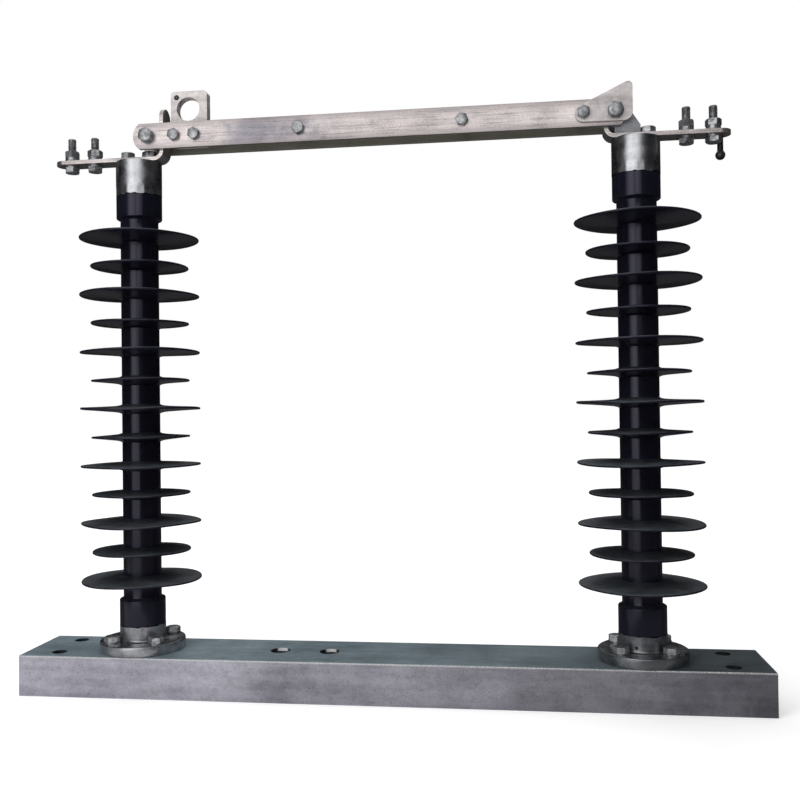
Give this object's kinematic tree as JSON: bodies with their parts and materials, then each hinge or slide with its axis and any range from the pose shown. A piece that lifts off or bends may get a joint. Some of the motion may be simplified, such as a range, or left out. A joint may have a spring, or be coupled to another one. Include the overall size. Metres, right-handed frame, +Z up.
{
  "type": "knife disconnect switch",
  "caption": "Single-pole knife disconnect switch: twin hinged blades with a pull ring between shed post insulators on a steel channel, opened by a hook stick.",
  "frame": {"origin": "centre of the base channel's underside, on the floor the switch stands on", "axes": "+X along the channel from the contact end to the hinge end, +Z up the posts, and -Y is the side of the bolt heads, which the picture shows"},
  "size_m": [0.87, 0.143, 0.7297],
  "materials": {
    "hot_dip_zinc": "matt hot-dip galvanised",
    "forged_zinc": "galvanised forging",
    "silicone": "satin silicone rubber",
    "glass_fibre": "pultruded rod",
    "tinned_copper": "tinned copper bar",
    "zinc_plate": "zinc-plated fasteners",
    "dark_steel": "dark oiled steel"
  },
  "bodies": {
    "switch_base": {"base_channel": "hot_dip_zinc", "left_bottom_fitting": "forged_zinc", "left_core_rod": "glass_fibre", "left_housing": "silicone", "left_top_cap": "forged_zinc", "left_flange_bolts": "zinc_plate", "left_flange_washers": "zinc_plate", "left_flange_nuts": "zinc_plate", "left_cap_bolts": "zinc_plate", "left_cap_washers": "zinc_plate", "left_terminal_bolts": "zinc_plate", "left_terminal_nuts": "zinc_plate", "left_terminal_washers": "zinc_plate", "left_terminal": "tinned_copper", "right_bottom_fitting": "forged_zinc", "right_core_rod": "glass_fibre", "right_housing": "silicone", "right_top_cap": "forged_zinc", "right_flange_bolts": "zinc_plate", "right_flange_washers": "zinc_plate", "right_flange_nuts": "zinc_plate", "right_cap_bolts": "zinc_plate", "right_cap_washers": "zinc_plate", "right_terminal_bolts": "zinc_plate", "right_terminal_nuts": "zinc_plate", "right_terminal_washers": "zinc_plate", "right_terminal": "tinned_copper", "hinge_bracket": "hot_dip_zinc", "ball_stub": "dark_steel"},
    "knife": {"front_blade": "tinned_copper", "rear_blade": "tinned_copper", "front_stop_plate": "hot_dip_zinc", "rear_stop_plate": "hot_dip_zinc", "pull_ring": "hot_dip_zinc", "pull_ring_rivet": "zinc_plate", "blade_spacers": "zinc_plate", "blade_bolts": "zinc_plate", "blade_nuts": "zinc_plate", "pivot_bolt": "zinc_plate", "pivot_nut": "zinc_plate", "contact_bolt": "zinc_plate", "contact_nut": "zinc_plate", "knife_bolt_washers": "zinc_plate"}
  },
  "joints": [
    {"name": "knife_hinge", "type": "hinge", "parent": "switch_base", "child": "knife", "pos_m": [0.276, 0, 0.6732], "axis": [0, 1, 0], "range_deg": [0, 109.5]}
  ]
}
